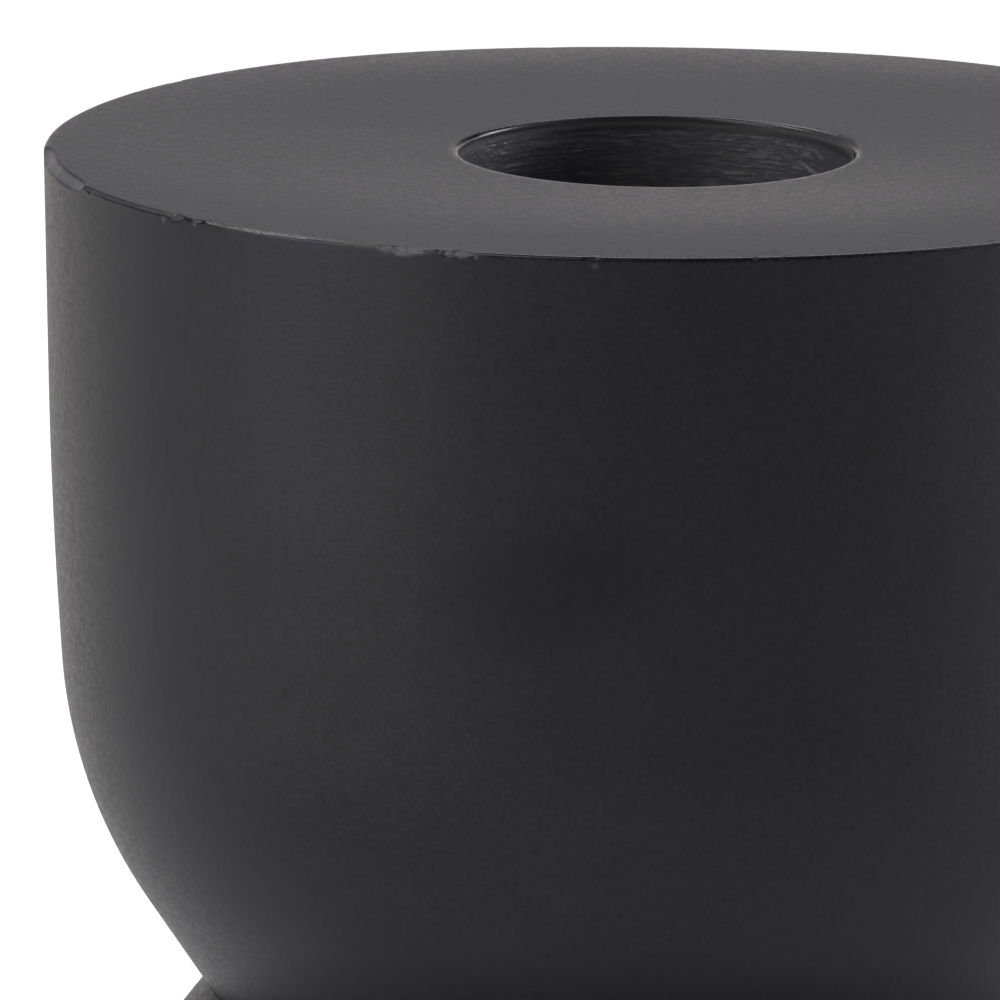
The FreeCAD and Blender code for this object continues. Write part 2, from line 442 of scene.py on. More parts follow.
class Graph:
    """Short calls for filling a node tree. A value is a number, a tuple or another node's output."""

    def __init__(self, tree: bpy.types.NodeTree) -> None:
        """Start with an empty tree."""
        self.tree = tree
        tree.nodes.clear()

    def feed(self, socket: Socket, value: object) -> None:
        """Link an output to an input, or set the input's value.

        Args:
            socket: The input.
            value: An output, or the input's own value.
        """
        if isinstance(value, Socket):
            self.tree.links.new(value, socket)
        else:
            socket.default_value = value

    def node(
        self, kind: str, settings: dict | None = None, *values: object, **inputs: object
    ) -> bpy.types.Node:
        """Add a node.

        Args:
            kind: The node's type.
            settings: Values for the node's own properties.
            values: Values for its first inputs, in order.
            inputs: Values for inputs by name, with underscores for the spaces.

        Returns:
            The node.
        """
        made = self.tree.nodes.new(kind)
        for key, value in (settings or {}).items():
            setattr(made, key, value)
        for socket, value in zip(made.inputs, values):
            self.feed(socket, value)
        for key, value in inputs.items():
            self.feed(made.inputs[key.replace("_", " ")], value)
        return made

    def math(self, operation: str, *values: object, clamp: bool = False) -> Socket:
        """A math node's output."""
        return self.node("ShaderNodeMath", {"operation": operation, "use_clamp": clamp}, *values).outputs[0]

    def vector(self, operation: str, *values: object) -> Socket:
        """A vector math node's vector."""
        return self.node("ShaderNodeVectorMath", {"operation": operation}, *values).outputs[0]

    def dot(self, first: object, second: object) -> Socket:
        """The dot product of two vectors."""
        return self.node("ShaderNodeVectorMath", {"operation": "DOT_PRODUCT"}, first, second).outputs["Value"]

    def span(self, value: object, *limits: float) -> Socket:
        """A value eased from the first two limits to the last two, or to 0 and 1, and held at the ends."""
        settings = {"interpolation_type": "SMOOTHSTEP"}
        return self.node("ShaderNodeMapRange", settings, value, *limits).outputs[0]

    def blend(self, factor: object, first: object, second: object) -> Socket:
        """Mix two colours.

        Args:
            factor: How much of the second one there is, from 0 to 1.
            first: The first colour.
            second: The second colour.

        Returns:
            The mixed colour.
        """
        made = self.node("ShaderNodeMix", {"data_type": "RGBA"}, factor)
        self.feed(made.inputs[6], first)
        self.feed(made.inputs[7], second)
        return made.outputs[2]

    def noise(self, vector: object, scale: object, detail: float, roughness: float) -> Socket:
        """A noise texture's value."""
        inputs = {"Vector": vector, "Scale": scale, "Detail": detail, "Roughness": roughness}
        return self.node("ShaderNodeTexNoise", **inputs).outputs["Fac"]

    def bump(self, height: object, distance: object, **inputs: object) -> Socket:
        """A normal bent by a height."""
        return self.node("ShaderNodeBump", Height=height, Distance=distance, **inputs).outputs["Normal"]

    def place(self) -> Socket:
        """The shaded point's place on its piece."""
        return self.node("ShaderNodeTexCoord").outputs["Object"]

    def axes(self, vector: object) -> bpy.types.NodeOutputs:
        """A vector's three parts."""
        return self.node("ShaderNodeSeparateXYZ", Vector=vector).outputs

    def attribute(self, name: str) -> Socket:
        """A value stored on the mesh."""
        return self.node("ShaderNodeAttribute", {"attribute_name": name}).outputs["Fac"]

    def effect(self, effect: Effect, **inputs: object) -> bpy.types.NodeOutputs:
        """The outputs of one of the shared effects."""
        return self.node("ShaderNodeGroup", {"node_tree": effect_group(effect)}, **inputs).outputs


def new_group(
    effect: Effect, inputs: Sequence[str], outputs: Sequence[str], kind: str = "NodeSocketFloat"
) -> tuple[Graph, bpy.types.NodeOutputs, bpy.types.NodeInputs]:
    """Start a node group.

    Args:
        effect: The effect that it holds.
        inputs: The names of its inputs.
        outputs: The names of its value outputs.
        kind: The inputs' socket type.

    Returns:
        The group's graph, what comes in and what goes out.
    """
    tree = bpy.data.node_groups.new(effect.value, "ShaderNodeTree")
    for key in inputs:
        tree.interface.new_socket(key, in_out="INPUT", socket_type=kind)
    for key in outputs:
        tree.interface.new_socket(key, in_out="OUTPUT", socket_type="NodeSocketFloat")
    graph = Graph(tree)
    return graph, graph.node("NodeGroupInput").outputs, graph.node("NodeGroupOutput").inputs


def build_lathe_rings() -> None:
    """Fine marks that run round the turning axis, on walls and on flat faces alike."""
    graph, given, out = new_group(Effect.LATHE_RINGS, ("Pitch", "Wander"), ("Height",))
    axes = graph.axes(graph.place())
    squares = [graph.math("MULTIPLY", axes[i], axes[i]) for i in range(2)]
    radius = graph.math("SQRT", graph.math("ADD", *squares))
    sides = [graph.math("DIVIDE", axes[i], radius) for i in range(2)]
    around = [graph.math("MULTIPLY", side, given["Wander"]) for side in sides]
    along = graph.math("DIVIDE", graph.math("SUBTRACT", axes[2], radius), given["Pitch"])
    spot = graph.node("ShaderNodeCombineXYZ", None, *around, along).outputs[0]
    graph.feed(out["Height"], graph.noise(spot, 1.0, 2.0, 0.5))


def build_mottle() -> None:
    """Soft blotches and fine grain in a coat. Grain Pull draws the grain out towards the sides."""
    graph, given, out = new_group(
        Effect.MOTTLE, ("Blotch Size", "Grain Size", "Grain Pull"), ("Blotch", "Grain")
    )
    place = graph.place()
    blotch = graph.noise(place, graph.math("DIVIDE", 1.0, given["Blotch Size"]), 3.0, 0.55)
    pull = graph.node("ShaderNodeCombineXYZ", X=1.0, Y=given["Grain Pull"], Z=1.0).outputs[0]
    pulled = graph.vector("MULTIPLY", place, pull)
    grain = graph.noise(pulled, graph.math("DIVIDE", 1.0, given["Grain Size"]), 2.0, 0.6)
    graph.feed(out["Blotch"], graph.span(blotch, 0.3, 0.7))
    graph.feed(out["Grain"], grain)


def build_specks() -> None:
    """Rare pale specks of dust or lint, each with its own size."""
    graph, given, out = new_group(Effect.SPECKS, ("Spacing", "Size", "Rarity"), ("Mask",))
    scale = graph.math("DIVIDE", 1.0, given["Spacing"])
    cells = graph.node("ShaderNodeTexVoronoi", {"feature": "F1"}, Vector=graph.place(), Scale=scale)
    draw = graph.node("ShaderNodeSeparateColor", Color=cells.outputs["Color"]).outputs
    reach = graph.math("MULTIPLY", given["Size"], graph.math("ADD", draw[0], 0.4))
    dot = graph.math("SUBTRACT", 1.0, graph.math("DIVIDE", cells.outputs["Distance"], reach), clamp=True)
    kept = graph.math("GREATER_THAN", draw[1], given["Rarity"])
    graph.feed(out["Mask"], graph.math("MULTIPLY", graph.span(dot, 0.0, 0.5), kept))


def build_hand_mark() -> None:
    """A soft patch with a mottled edge, as a hand leaves on a matte coat."""
    graph, given, out = new_group(
        Effect.HAND_MARK, ("Centre", "Along", "Across"), ("Mask",), "NodeSocketVector"
    )
    place = graph.place()
    away = graph.vector("SUBTRACT", place, given["Centre"])
    along, across = graph.dot(away, given["Along"]), graph.dot(away, given["Across"])
    squares = graph.math("MULTIPLY_ADD", along, along, graph.math("MULTIPLY", across, across))
    edge = graph.noise(place, 1 / (0.9 * MM), 5.0, 0.75)
    ragged = graph.math("MULTIPLY_ADD", graph.math("SUBTRACT", edge, 0.5), 1.3, graph.math("SQRT", squares))
    graph.feed(out["Mask"], graph.span(ragged, 0.3, 1.15, 1.0, 0.0))


GROUP_BUILDERS: dict[Effect, Callable[[], None]] = {
    Effect.LATHE_RINGS: build_lathe_rings,
    Effect.MOTTLE: build_mottle,
    Effect.SPECKS: build_specks,
    Effect.HAND_MARK: build_hand_mark,
}


def effect_group(effect: Effect) -> bpy.types.NodeTree:
    """The node group of an effect, built the first time it is asked for.

    Args:
        effect: The effect.

    Returns:
        Its node group.
    """
    if effect.value not in bpy.data.node_groups:
        GROUP_BUILDERS[effect]()
    return bpy.data.node_groups[effect.value]


def new_material(name: str) -> tuple[bpy.types.Material, Graph, bpy.types.NodeInputs]:
    """Start a material.

    Args:
        name: The material's name.

    Returns:
        The material, its graph and its shader's inputs.
    """
    material = bpy.data.materials.new(name)
    material.use_nodes = True
    graph = Graph(material.node_tree)
    shader = graph.node("ShaderNodeBsdfPrincipled")
    graph.node("ShaderNodeOutputMaterial", Surface=shader.outputs["BSDF"])
    return material, graph, shader.inputs


def grey(value: float, tint: float = 0.0) -> Colour:
    """A grey with a slight blue tint."""
    return (value * (1 - tint), value * (1 - tint), value * (1 + tint), 1.0)


def scaled(colour: Colour, factor: float) -> Colour:
    """A colour made lighter or darker by a factor."""
    return tuple(factor * part for part in colour[:3]) + (1.0,)


# Finishes


@dataclass(frozen=True)
class Finish:
    """A finish. name is its material's name, and the rest is the same all over the surface."""

    name: str = ""
    specular: float = 0.5
    metallic: float = 0.0

    def material(self) -> bpy.types.Material:
        """Build the finish's material.

        Returns:
            The material.
        """
        material, graph, shader = new_material(self.name)
        shader["Specular IOR Level"].default_value = self.specular
        shader["Metallic"].default_value = self.metallic
        self.fill(graph, shader)
        return material

    def fill(self, graph: Graph, shader: bpy.types.NodeInputs) -> None:
        """Feed the shader's inputs in the material's graph."""
        raise NotImplementedError


@dataclass(frozen=True)
class Fan:
    """A sector of a flat face that was sanded in another direction, so that it looks darker or lighter.

    bearing and half_width are in degrees. rougher is added to the roughness in its middle.
    """

    bearing: float
    half_width: float
    rougher: float


@dataclass(frozen=True)
class HandMark:
    """A dull patch where a hand has held the block.

    bearing is in degrees. height, length and width are in metres, and tilt is in degrees, the way that its
    right end rises. strength runs from 0 to 1.
    """

    bearing: float
    height: float
    length: float
    width: float
    tilt: float
    strength: float

    def mask(self, graph: Graph, radius: float) -> Socket:
        """Place the mark on a wall.

        Args:
            graph: The finish's graph.
            radius: The wall's radius.

        Returns:
            Where the mark is, from 0 to its strength.
        """
        turn, tilt = math.radians(self.bearing), math.radians(self.tilt)
        out = Vector((math.sin(turn), -math.cos(turn), 0.0))
        side = Vector((math.cos(turn), math.sin(turn), 0.0))
        rise = Vector((0.0, 0.0, 1.0))
        along = (side * math.cos(tilt) + rise * math.sin(tilt)) * (2 / self.length)
        across = (rise * math.cos(tilt) - side * math.sin(tilt)) * (2 / self.width)
        centre = out * radius + rise * self.height
        mark = graph.effect(Effect.HAND_MARK, Centre=tuple(centre), Along=tuple(along), Across=tuple(across))
        facing = graph.dot(graph.node("ShaderNodeNewGeometry").outputs["Normal"], tuple(out))
        return graph.math("MULTIPLY", mark["Mask"], graph.span(facing, 0.3, 0.6, 0.0, self.strength))


@dataclass(frozen=True)
class BlackLacquer(Finish):
    """Matte black lacquer sprayed over turned and sanded hardwood.

    lighter is how much paler than its colour the coat's grain gets, and blotch_share and grain_share are how
    much the blotches and the grain do of that. worn_cover is how far the wear attribute turns the coat to
    wear_and_painted_light_colour at most; that is worn coat at chips, bevels and dents, and painted light at
    the cup's socket mouth and wall. A surface counts as the flat face as its normal's upright part goes over
    flat_range. A field that ends in _rough is what its cause adds to the roughness, and peel and face_peel
    are the orange peel's depth on the wall and what the flat face has over that.
    """

    specular: float = 0.36
    marks: tuple[HandMark, ...] = ()
    body_radius: float = 35.0 * MM
    fans: tuple[Fan, ...] = ()
    colour: Colour = grey(0.0085, 0.06)
    # Pale worn coat at chips, bevels and dents; at the cup's socket mouth and wall this colour is painted
    # light.
    wear_and_painted_light_colour: Colour = grey(0.15, 0.02)
    held_colour: Colour = (0.003, 0.003, 0.004, 1.0)
    dust_colour: Colour = grey(0.16, 0.02)
    lighter: float = 2.2
    blotch_share: float = 0.3
    grain_share: float = 0.75
    worn_cover: float = 0.8
    flat_range: tuple[float, float] = (0.9, 0.995)
    roughness: float = 0.39
    face_roughness: float = 0.40
    grain_rough: float = 0.3
    held_rough: float = 0.09
    rubbed_rough: float = -0.13
    worn_rough: float = 0.08
    peel: float = 11.5 * MICRON
    face_peel: float = 9.5 * MICRON
    rubbed_peel: float = -0.85
    ring_depth: float = 0.4 * MICRON

    def fill(self, graph: Graph, shader: bpy.types.NodeInputs) -> None:
        """Feed the lacquer's colour, roughness and normal.

        Args:
            graph: The material's graph.
            shader: The shader's inputs.
        """
        mottle = graph.effect(Effect.MOTTLE, Blotch_Size=9 * MM, Grain_Size=0.32 * MM, Grain_Pull=0.35)
        rings = graph.effect(Effect.LATHE_RINGS, Pitch=0.22 * MM, Wander=1.4)["Height"]
        dust = graph.effect(Effect.SPECKS, Spacing=5.5 * MM, Size=0.028, Rarity=0.62)["Mask"]
        wear, rub = graph.attribute(WEAR), graph.attribute(RUB)
        upright = graph.axes(graph.node("ShaderNodeNewGeometry").outputs["Normal"])[2]
        flat = graph.span(graph.math("ABSOLUTE", upright), *self.flat_range)
        held: object = 0.0
        for mark in self.marks:
            held = graph.math("MAXIMUM", held, mark.mask(graph, self.body_radius))

        uneven = graph.math("MULTIPLY", mottle["Blotch"], self.blotch_share)
        grain = graph.span(mottle["Grain"], 0.3, 0.7)
        uneven = graph.math("MULTIPLY_ADD", grain, self.grain_share, uneven)
        coat = graph.blend(uneven, self.colour, scaled(self.colour, self.lighter))
        coat = graph.blend(held, coat, self.held_colour)
        # Worn coat at chips, bevels and dents; in the cup's socket mouth and wall the same blend is painted
        # light.
        coat = graph.blend(graph.math("MULTIPLY", wear, self.worn_cover), coat, self.wear_and_painted_light_colour)
        graph.feed(shader["Base Color"], graph.blend(dust, coat, self.dust_colour))

        face = graph.math("ADD", self.face_roughness, self._fan_roughness(graph))
        rough = graph.math("MULTIPLY_ADD", flat, graph.math("SUBTRACT", face, self.roughness), self.roughness)
        for cause, change in (
            (graph.math("SUBTRACT", mottle["Grain"], 0.5), self.grain_rough),
            (held, self.held_rough),
            (rub, self.rubbed_rough),
            (wear, self.worn_rough),
        ):
            rough = graph.math("MULTIPLY_ADD", cause, change, rough)
        graph.feed(shader["Roughness"], rough)

        depth = graph.math("MULTIPLY_ADD", flat, self.face_peel, self.peel)
        strength = graph.math("MULTIPLY_ADD", rub, self.rubbed_peel, 1.0)
        peel = graph.bump(mottle["Grain"], depth, Strength=strength)
        graph.feed(shader["Normal"], graph.bump(rings, self.ring_depth, Strength=1.0, Normal=peel))

    def _fan_roughness(self, graph: Graph) -> object:
        """The roughness that the fans add on the flat face.

        Args:
            graph: The finish's graph.

        Returns:
            A socket, or 0 where there are no fans.
        """
        total: object = 0.0
        level = graph.vector("NORMALIZE", graph.vector("MULTIPLY", graph.place(), (1.0, 1.0, 0.0)))
        for fan in self.fans:
            turn = math.radians(fan.bearing)
            towards = graph.dot(level, (math.sin(turn), -math.cos(turn), 0.0))
            share = graph.span(towards, math.cos(math.radians(fan.half_width)), 1.0)
            total = graph.math("MULTIPLY_ADD", share, fan.rougher, total)
        return total


@dataclass(frozen=True)
class BlackenedSteel(Finish):
    """A thin black coat over a turned steel wall, with the tool's marks left in it.

    The lip, from about lip_height up, is unmarked and duller, and its colour is painted shade: darker than
    the wall, so that its upward slope doesn't show lit. The tool has also left the wall smooth where X is
    past smooth_from, and smooth_chatter is what that takes from the chatter's strength.
    """

    name: str = "blackened_steel"
    colour: Colour = grey(0.066, 0.04)
    scratched: Colour = grey(0.145)
    bare: Colour = grey(0.2)
    # Painted shade: the lip is darker so that its slope doesn't show lit.
    lip_painted_shade_colour: Colour = grey(0.008, 0.05)
    lip_height: float = 141.9 * MM
    lip_rough: float = 0.35
    smooth_from: float = 9.2 * MM
    smooth_by: float = 10.2 * MM
    roughness: float = 0.19
    grain_rough: float = 0.35
    ring_depth: float = 16 * MICRON
    chatter_depth: float = 45 * MICRON
    smooth_chatter: float = -0.9

    def fill(self, graph: Graph, shader: bpy.types.NodeInputs) -> None:
        """Feed the coat's colour, roughness and normal.

        Args:
            graph: The material's graph.
            shader: The shader's inputs.
        """
        rings = graph.effect(Effect.LATHE_RINGS, Pitch=0.16 * MM, Wander=3.0)["Height"]
        chatter = graph.effect(Effect.LATHE_RINGS, Pitch=0.3 * MM, Wander=16.0)["Height"]
        mottle = graph.effect(Effect.MOTTLE, Blotch_Size=2.6 * MM, Grain_Size=0.35 * MM, Grain_Pull=1.0)
        axes = graph.axes(graph.place())
        smooth = graph.span(axes[0], self.smooth_from, self.smooth_by)
        lip = graph.span(axes[2], self.lip_height - 0.25 * MM, self.lip_height + 0.15 * MM)
        scored = graph.math("MULTIPLY", graph.span(rings, 0.4, 0.7), graph.span(chatter, 0.4, 0.62))
        scored = graph.math("MULTIPLY", scored, graph.span(mottle["Blotch"], 0.0, 0.8, 0.35, 1.0))
        scored = graph.math("MULTIPLY", scored, graph.math("SUBTRACT", 1.0, smooth))
        coat = graph.blend(scored, self.colour, self.scratched)
        # The lip takes the painted shade colour, so that its upward slope doesn't show lit.
        coat = graph.blend(lip, graph.blend(graph.attribute(WEAR), coat, self.bare), self.lip_painted_shade_colour)
        graph.feed(shader["Base Color"], coat)
        rough = graph.math("MULTIPLY_ADD", mottle["Grain"], self.grain_rough, self.roughness)
        graph.feed(shader["Roughness"], graph.math("MULTIPLY_ADD", lip, self.lip_rough, rough))
        fine = graph.bump(rings, self.ring_depth, Strength=1.0)
        strength = graph.math("MULTIPLY_ADD", smooth, self.smooth_chatter, 1.0)
        deep = graph.bump(chatter, self.chatter_depth, Strength=strength, Normal=fine)
        graph.feed(shader["Normal"], deep)


@dataclass(frozen=True)
class ZincPlate(Finish):
    """Bright zinc plate on the bolt, nut and washers."""

    name: str = "zinc_plate"
    metallic: float = 1.0
    colour: Colour = (0.60, 0.61, 0.63, 1.0)
    darker: float = 0.78
    roughness: float = 0.2
    grain_rough: float = 0.25
    ring_depth: float = 2 * MICRON

    def fill(self, graph: Graph, shader: bpy.types.NodeInputs) -> None:
        """Feed the plate's colour, roughness and normal.

        Args:
            graph: The material's graph.
            shader: The shader's inputs.
        """
        mottle = graph.effect(Effect.MOTTLE, Blotch_Size=1.6 * MM, Grain_Size=0.2 * MM, Grain_Pull=1.0)
        rings = graph.effect(Effect.LATHE_RINGS, Pitch=0.12 * MM, Wander=2.0)["Height"]
        colour = graph.blend(mottle["Blotch"], self.colour, scaled(self.colour, self.darker))
        graph.feed(shader["Base Color"], colour)
        rough = graph.math("MULTIPLY_ADD", mottle["Grain"], self.grain_rough, self.roughness)
        graph.feed(shader["Roughness"], rough)
        graph.feed(shader["Normal"], graph.bump(rings, self.ring_depth, Strength=1.0))


@dataclass(frozen=True)
class CastIron(Finish):
    """The weight's raw cast surface, lightly oiled, with a little rust."""

    name: str = "cast_iron"
    metallic: float = 0.7
    colour: Colour = (0.055, 0.055, 0.058, 1.0)
    rust: Colour = (0.085, 0.045, 0.03, 1.0)
    rust_share: float = 0.35
    roughness: float = 0.5
    grain_rough: float = 0.2
    sand_depth: float = 60 * MICRON

    def fill(self, graph: Graph, shader: bpy.types.NodeInputs) -> None:
        """Feed the iron's colour, roughness and normal.

        Args:
            graph: The material's graph.
            shader: The shader's inputs.
        """
        mottle = graph.effect(Effect.MOTTLE, Blotch_Size=6 * MM, Grain_Size=0.5 * MM, Grain_Pull=1.0)
        stain = graph.math("MULTIPLY", graph.span(mottle["Blotch"], 0.55, 1.0), self.rust_share)
        graph.feed(shader["Base Color"], graph.blend(stain, self.colour, self.rust))
        rough = graph.math("MULTIPLY_ADD", mottle["Grain"], self.grain_rough, self.roughness)
        graph.feed(shader["Roughness"], rough)
        graph.feed(shader["Normal"], graph.bump(mottle["Grain"], self.sand_depth, Strength=1.0))


@dataclass(frozen=True)
class BlackFelt(Finish):
    """Dense pressed wool felt, with pale lint."""

    name: str = "black_felt"
    specular: float = 0.15
    colour: Colour = grey(0.014, 0.04)
    pale: Colour = grey(0.035, 0.03)
    lint: Colour = grey(0.12)
    roughness: float = 0.95
    sheen: float = 0.25
    fibre_size: float = 0.3 * MM
    fibre_curl: float = 2.2
    pile: float = 90 * MICRON

    def fill(self, graph: Graph, shader: bpy.types.NodeInputs) -> None:
        """Feed the felt's colour and normal.

        Args:
            graph: The material's graph.
            shader: The shader's inputs.
        """
        mottle = graph.effect(Effect.MOTTLE, Blotch_Size=4 * MM, Grain_Size=0.16 * MM, Grain_Pull=1.0)
        lint = graph.effect(Effect.SPECKS, Spacing=2.5 * MM, Size=0.05, Rarity=0.7)["Mask"]
        flattened = graph.vector("MULTIPLY", graph.place(), (1.0, 1.0, 3.0))
        curls = {"Detail": 5.0, "Roughness": 0.75, "Distortion": self.fibre_curl}
        wool = graph.node("ShaderNodeTexNoise", Vector=flattened, Scale=1 / self.fibre_size, **curls)
        fibres = wool.outputs["Fac"]
        tone = graph.math("MULTIPLY", fibres, graph.math("MULTIPLY_ADD", mottle["Blotch"], 0.4, 0.6))
        wool_colour = graph.blend(tone, self.colour, self.pale)
        graph.feed(shader["Base Color"], graph.blend(lint, wool_colour, self.lint))
        graph.feed(shader["Normal"], graph.bump(fibres, self.pile, Strength=1.0))
        shader["Roughness"].default_value = self.roughness
        shader["Sheen Weight"].default_value = self.sheen


# Sub-assemblies


def seat(piece: bpy.types.Object, finish: Finish, slot: str, *nodes: str) -> bpy.types.Object:
    """Give a piece its finish and its place in the frame.

    Args:
        piece: The piece.
        finish: Its finish.
        slot: A material slot's name. It is not used.
        nodes: The construction solids that it stands for.

    Returns:
        The piece.
    """
    piece.data.materials.append(finish.material())
    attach(piece, BODY)
    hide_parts(*nodes)
    LOG.info("%s: %d points, in place of %s", piece.name, len(piece.data.vertices), ", ".join(nodes))
    return piece


@dataclass(frozen=True)
class WallOutline:
    """The outline that the cup and the base share, from the flat face to the waist.

    band is the width beside the arris, on the face and on the wall, that has band_steps and 6 steps.
    """

    body_radius: float = 35.0 * MM
    waist_radius: float = 25.4 * MM
    lean_deg: float = 1.4
    bend_depth: float = 20.5 * MM
    bend_rounding: float = 300.0 * MM
    lower_lean_deg: float = 4.1
    shoulder_rounding: float = 27.7 * MM
    cone_deg: float = 34.4
    arris_rounding: float = 0.2 * MM
    seam_rounding: float = 0.15 * MM
    band: float = 0.9 * MM
    band_steps: int = 9

    def corners(self, flat_height: float, waist_height: float) -> list[Corner]:
        """The corners from just inside the arris, over the wall, to the waist.

        Args:
            flat_height: The flat face's height.
            waist_height: The waist's height.

        Returns:
            The corners, from the flat face to the waist.
        """
        radius = self.body_radius
        height = abs(waist_height - flat_height)
        away = (waist_height - flat_height) / height
        lean, lower_lean, cone = (
            math.tan(math.radians(slant)) for slant in (self.lean_deg, self.lower_lean_deg, self.cone_deg)
        )
        bend_radius = radius - self.bend_depth * lean
        cone_reach = self.waist_radius + height * cone
        crossing = (cone_reach - bend_radius - self.bend_depth * lower_lean) / (cone - lower_lean)
        band_radius = radius - self.band * lean
        shoulder_radius, shoulder_height = cone_reach - crossing * cone, flat_height + away * crossing
        return [
            Corner(radius - self.band, flat_height, run_steps=self.band_steps),
            Corner(radius, flat_height, self.arris_rounding, arc_steps=6, run_steps=self.band_steps),
            Corner(band_radius, flat_height + away * self.band, run_steps=6),
            Corner(bend_radius, flat_height + away * self.bend_depth, self.bend_rounding, arc_steps=8),
            Corner(shoulder_radius, shoulder_height, self.shoulder_rounding, arc_steps=18, run_steps=5),
            Corner(self.waist_radius, waist_height, self.seam_rounding, arc_steps=3, run_steps=4),
        ]


@dataclass(frozen=True)
class Block:
    """What the turned wooden blocks share.

    The ball's spigots go into sockets in the cup and the base, and the tie bolt goes through all three. A
    ring within fine_band of an arris has the block's own fine_turns.
    """

    wall: WallOutline = WallOutline()
    bolt_hole_radius: float = 3.3 * MM
    spigot_socket_radius: float = 12.1 * MM
    spigot_socket_depth: float = 6.4 * MM
    fine_band: float = 1.0 * MM
    turns: int = 512
    hole_turns: int = 64

    def ring_turns(self, radius: float) -> int:
        """The points round a plain ring, which are few in the bolt hole."""
        return self.turns if radius > self.bolt_hole_radius + TOUCH else self.hole_turns


